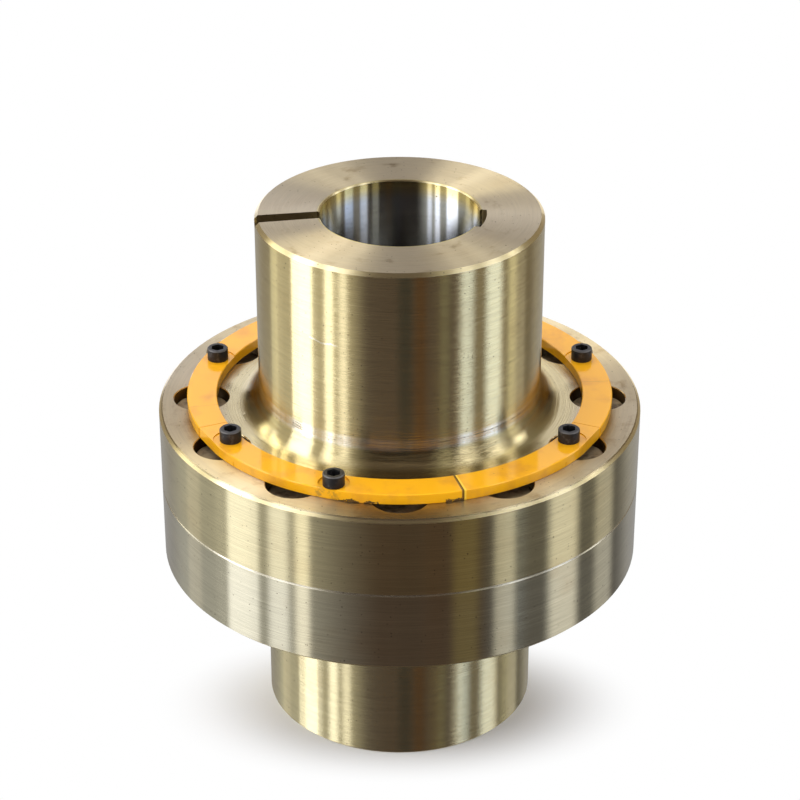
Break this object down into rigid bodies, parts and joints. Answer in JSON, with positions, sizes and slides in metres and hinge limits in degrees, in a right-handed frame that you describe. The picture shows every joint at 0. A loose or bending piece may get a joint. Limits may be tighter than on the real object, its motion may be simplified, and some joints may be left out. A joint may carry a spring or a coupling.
{
  "type": "flexible pin coupling",
  "caption": "Heavy flexible shaft coupling: two flanged half couplings joined by nylon pins, which segmented retaining rings hold in.",
  "frame": {"origin": "centre of the lower hub's end face, on the coupling's axis", "axes": "+Z along the axis, from the lower hub to the upper hub; -Y towards the front, where the plain joint of the ring lies a little to the right"},
  "size_m": [0.48, 0.48, 0.541],
  "materials": {
    "turned_steel": "turned, with a thin bronze film of rust-proofing oil",
    "ring_paint": "yellow gloss paint, chipped and grimy at the edges",
    "nylon": "machined cast nylon",
    "black_screw": "black oxide"
  },
  "bodies": {
    "lower_body": {"lower_half_coupling": "turned_steel", "coupling_pin_01": "nylon", "coupling_pin_02": "nylon", "coupling_pin_03": "nylon", "coupling_pin_04": "nylon", "coupling_pin_05": "nylon", "coupling_pin_06": "nylon", "coupling_pin_07": "nylon", "coupling_pin_08": "nylon", "coupling_pin_09": "nylon", "coupling_pin_10": "nylon", "coupling_pin_11": "nylon", "coupling_pin_12": "nylon", "lower_ring_front_left": "ring_paint", "lower_ring_front_right": "ring_paint", "lower_ring_rear_right": "ring_paint", "lower_ring_rear_left": "ring_paint", "lower_screw_front": "black_screw", "lower_screw_lap_left": "black_screw", "lower_screw_lap_right": "black_screw", "lower_screw_side_left": "black_screw", "lower_screw_side_right": "black_screw", "lower_screw_rear_left": "black_screw", "lower_screw_rear_right": "black_screw"},
    "upper_body": {"upper_half_coupling": "turned_steel", "upper_ring_front_left": "ring_paint", "upper_ring_front_right": "ring_paint", "upper_ring_rear_right": "ring_paint", "upper_ring_rear_left": "ring_paint", "upper_screw_front": "black_screw", "upper_screw_lap_left": "black_screw", "upper_screw_lap_right": "black_screw", "upper_screw_side_left": "black_screw", "upper_screw_side_right": "black_screw", "upper_screw_rear_left": "black_screw", "upper_screw_rear_right": "black_screw"}
  },
  "joints": [
    {"name": "axial_float", "type": "slide", "parent": "lower_body", "child": "upper_body", "axis": [0, 0, 1], "range_m": [0, 0.0085]}
  ]
}
